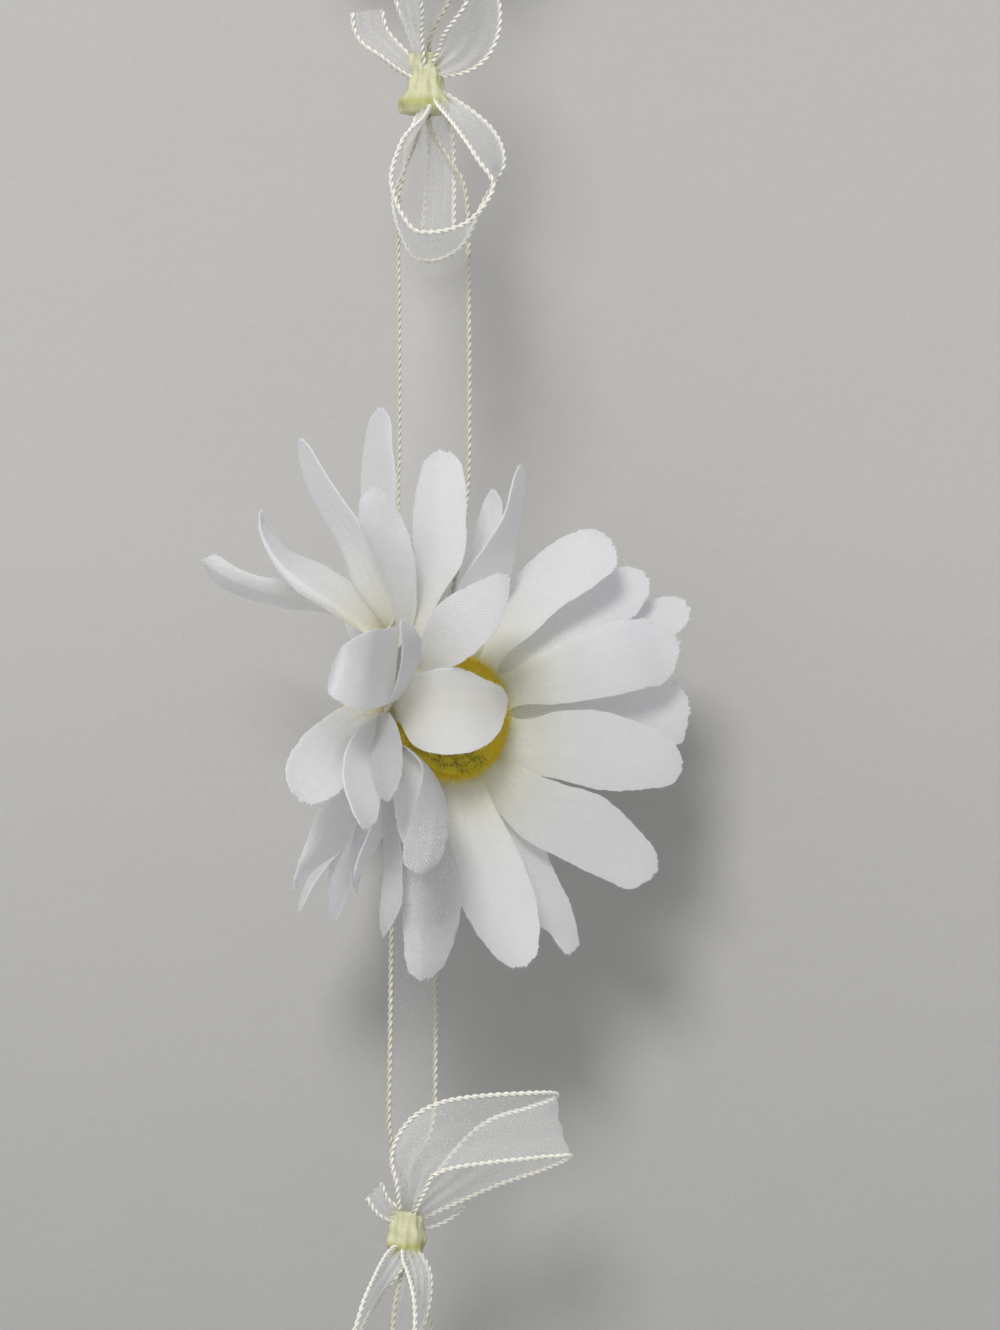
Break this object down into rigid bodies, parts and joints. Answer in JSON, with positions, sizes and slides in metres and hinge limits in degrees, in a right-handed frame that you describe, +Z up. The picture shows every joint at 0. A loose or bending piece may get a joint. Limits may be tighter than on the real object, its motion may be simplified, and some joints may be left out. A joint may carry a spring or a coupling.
{
  "type": "artificial daisy garland",
  "caption": "Hanging garland of white cloth daisy heads, set back to back along a sheer corded ribbon, with ribbon bows tied between them and a cord loop at the top.",
  "frame": {"origin": "inside of the hanging loop's top, where it rests on its hook", "axes": "+Z up along the strand, -Y to the front, where the middle pair's open disc shows"},
  "size_m": [0.0745, 0.08, 0.5734],
  "materials": {
    "organza_ribbon": "sheer woven organza, satin sheen",
    "bow_organza": "sheer woven organza, gathered",
    "loop_cord": "twisted rayon cord, soft sheen",
    "petal_cloth": "matt woven polyester",
    "disc_flock": "flocked, rough",
    "backing_plastic": "matt moulded"
  },
  "bodies": {
    "root": {"ribbon": "organza_ribbon", "hanging_loop": "loop_cord", "bow_1": "bow_organza", "bow_2": "bow_organza", "bow_3": "bow_organza", "bow_4": "bow_organza", "daisy_1_left_petals": "petal_cloth", "daisy_1_left_disc": "disc_flock", "daisy_1_left_backing": "backing_plastic", "daisy_1_right_petals": "petal_cloth", "daisy_1_right_disc": "disc_flock", "daisy_1_right_backing": "backing_plastic", "daisy_2_left_petals": "petal_cloth", "daisy_2_left_disc": "disc_flock", "daisy_2_left_backing": "backing_plastic", "daisy_2_right_petals": "petal_cloth", "daisy_2_right_disc": "disc_flock", "daisy_2_right_backing": "backing_plastic", "daisy_3_left_petals": "petal_cloth", "daisy_3_left_disc": "disc_flock", "daisy_3_left_backing": "backing_plastic", "daisy_3_right_petals": "petal_cloth", "daisy_3_right_disc": "disc_flock", "daisy_3_right_backing": "backing_plastic"}
  },
  "joints": []
}
